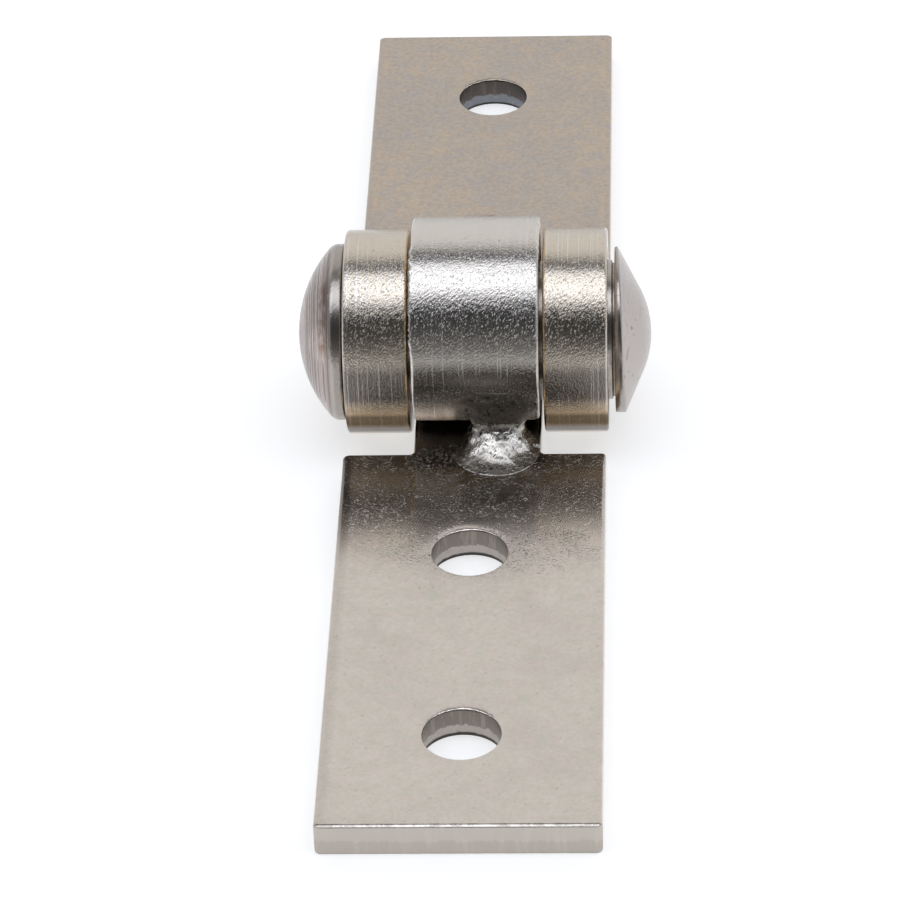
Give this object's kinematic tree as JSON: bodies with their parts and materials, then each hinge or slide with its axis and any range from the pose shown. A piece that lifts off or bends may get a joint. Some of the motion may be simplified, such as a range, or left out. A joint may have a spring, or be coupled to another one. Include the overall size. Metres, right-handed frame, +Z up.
{
  "type": "folding door hinge",
  "caption": "Strap hinge of thick flat bar with rolled and welded eyes on a domed rivet pin, each leaf punched with round screw holes.",
  "frame": {"origin": "midway between the two leaf ends and under the pin's axis, on the plane that both leaf undersides lie on", "axes": "+X along the pin, +Y from the pin towards the rear leaf's free end, +Z up, away from the leaves' undersides"},
  "size_m": [0.0406, 0.1568, 0.025],
  "materials": {
    "front_plating": "warm nickel plating over drawn bar, faintly mottled, heat-browned beside the weld",
    "rear_plating": "nickel plating with a tan cast, bluish mottling and brassy edges round the eyes",
    "pin_plating": "nickel plating over turning marks on one head and a pressed, slightly pitted skin on the other",
    "weld_plating": "plated weld metal, lumpy and bright on its crown"
  },
  "bodies": {
    "rear_side": {"rear_leaf": "rear_plating", "rear_curl_weld_left": "weld_plating", "rear_curl_weld_right": "weld_plating"},
    "front_side": {"front_leaf": "front_plating", "front_curl_weld": "weld_plating"},
    "rivet": {"hinge_pin": "pin_plating"}
  },
  "joints": [
    {"name": "leaf_fold", "type": "hinge", "parent": "rear_side", "child": "front_side", "pos_m": [0, 0, 0.01173], "axis": [-1, 0, 0], "range_deg": [-96, 189]},
    {"name": "pin_turn", "type": "hinge", "parent": "rear_side", "child": "rivet", "pos_m": [0, 0, 0.01173], "axis": [1, 0, 0], "continuous": true}
  ]
}
